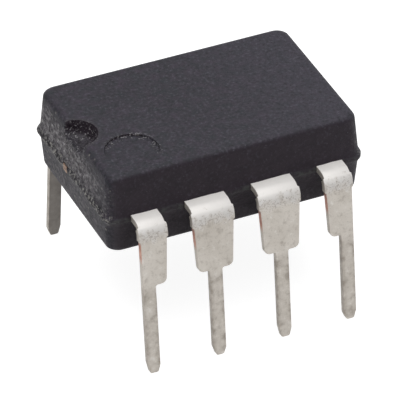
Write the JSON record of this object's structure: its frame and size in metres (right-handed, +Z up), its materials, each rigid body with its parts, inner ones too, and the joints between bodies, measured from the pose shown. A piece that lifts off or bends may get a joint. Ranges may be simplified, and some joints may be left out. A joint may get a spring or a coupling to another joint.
{
  "type": "dual in-line package integrated circuit",
  "caption": "Small moulded integrated circuit in a dual in-line package: dark epoxy block with an end notch, a round corner mark and two rows of bent, splayed through-hole legs.",
  "frame": {"origin": "on the plane of the lead tips, at the middle of the package seen from above", "axes": "+X along the body away from the notched end, +Y from the row of leads 1 to 4 to the row of leads 5 to 8, +Z up out of the marked top face"},
  "size_m": [0.01, 0.0094, 0.0076],
  "materials": {
    "epoxy_moulding": "matte charcoal epoxy moulding compound, finely mottled, rough and dusty on its ends",
    "tin_plate": "matte tin plate, warm grey, with copper showing at sheared edges",
    "frame_copper": "stamped copper alloy",
    "silver_adhesive": "cured silver-filled epoxy",
    "silicon": "polished silicon with metal lines",
    "gold_wire": "bright gold wire"
  },
  "bodies": {
    "root": {"package_body": "epoxy_moulding", "die_paddle": "frame_copper", "die_attach": "silver_adhesive", "silicon_die": "silicon", "lead_1": "tin_plate", "lead_2": "tin_plate", "lead_3": "tin_plate", "lead_4": "tin_plate", "lead_5": "tin_plate", "lead_6": "tin_plate", "lead_7": "tin_plate", "lead_8": "tin_plate", "bond_wire_1": "gold_wire", "bond_wire_2": "gold_wire", "bond_wire_3": "gold_wire", "bond_wire_4": "gold_wire", "bond_wire_5": "gold_wire", "bond_wire_6": "gold_wire", "bond_wire_7": "gold_wire", "bond_wire_8": "gold_wire"}
  },
  "joints": []
}
